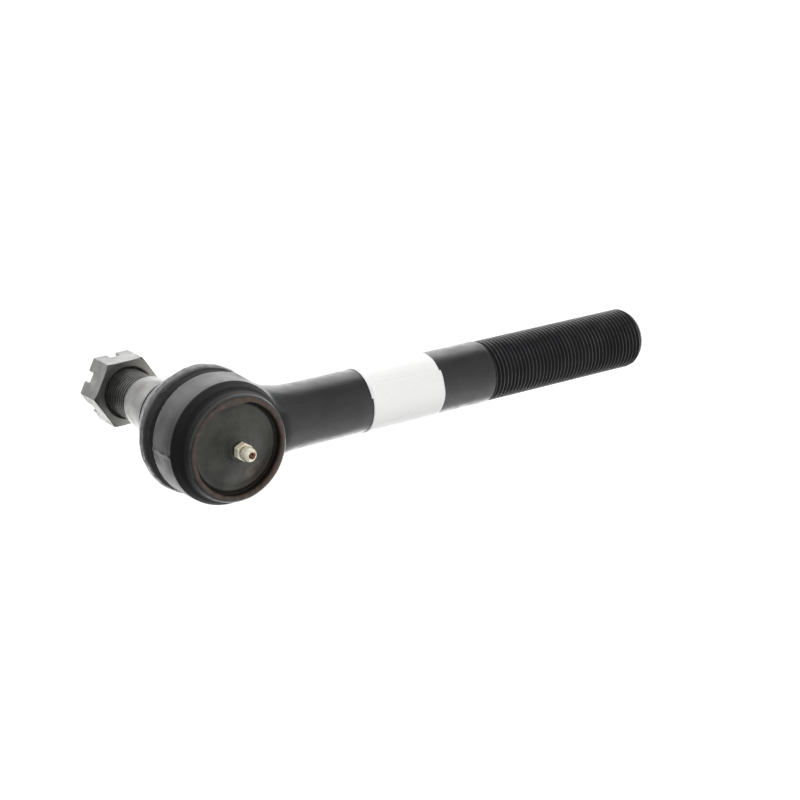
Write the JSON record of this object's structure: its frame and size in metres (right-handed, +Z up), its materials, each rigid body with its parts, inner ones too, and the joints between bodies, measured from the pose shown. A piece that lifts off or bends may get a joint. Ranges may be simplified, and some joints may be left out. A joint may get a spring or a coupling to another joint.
{
  "type": "tie rod end",
  "caption": "Straight heavy-duty tie rod end: threaded shank, greasable ball socket, tapered ball stud with dust boot and slotted nut, shown lying on its side.",
  "frame": {"origin": "centre of the ball, the point the stud swivels about", "axes": "+X along the shank to its threaded end, +Y along the ball stud to its nut, +Z up as it lies on its side"},
  "size_m": [0.2632, 0.127, 0.0582],
  "materials": {
    "black_paint": "satin",
    "phosphate_steel": "matte",
    "yellow_zinc": "satin",
    "machined_steel": "satin",
    "grey_steel": "matte",
    "bearing_steel": "satin",
    "spring_steel": "satin",
    "boot_rubber": "matte",
    "label_paper": "matte"
  },
  "bodies": {
    "socket": {"socket_forging": "black_paint", "cover_plate": "phosphate_steel", "grease_fitting_body": "yellow_zinc", "grease_check_spring": "spring_steel", "pressure_bearing": "bearing_steel", "preload_spring": "spring_steel", "label": "label_paper"},
    "swivel": {"stud_side_bearing": "bearing_steel", "dust_boot": "boot_rubber"},
    "boot_lip": {"boot_retaining_ring": "spring_steel"},
    "stud": {"ball_stud": "machined_steel"},
    "nut": {"slotted_nut": "grey_steel"},
    "check_valve": {"grease_check_ball": "bearing_steel"}
  },
  "joints": [
    {"name": "lean_direction", "type": "hinge", "parent": "socket", "child": "swivel", "pos_m": [0, 0, 0], "axis": [0, 1, 0], "continuous": true},
    {"name": "stud_tilt", "type": "hinge", "parent": "swivel", "child": "boot_lip", "pos_m": [0, 0, 0], "axis": [1, 0, 0], "range_deg": [-18, 18], "deforming": ["dust_boot"]},
    {"name": "stud_spin", "type": "hinge", "parent": "boot_lip", "child": "stud", "pos_m": [0, 0, 0], "axis": [0, 1, 0], "continuous": true},
    {"name": "nut_travel", "type": "slide", "parent": "stud", "child": "nut", "axis": [0, 1, 0], "range_m": [0, 0.022]},
    {"name": "check_ball_press", "type": "slide", "parent": "socket", "child": "check_valve", "axis": [0, 1, 0], "range_m": [0, 0.0006], "stiffness_N_per_m": 200, "springref_m": -0.001, "deforming": ["grease_check_spring"]}
  ]
}
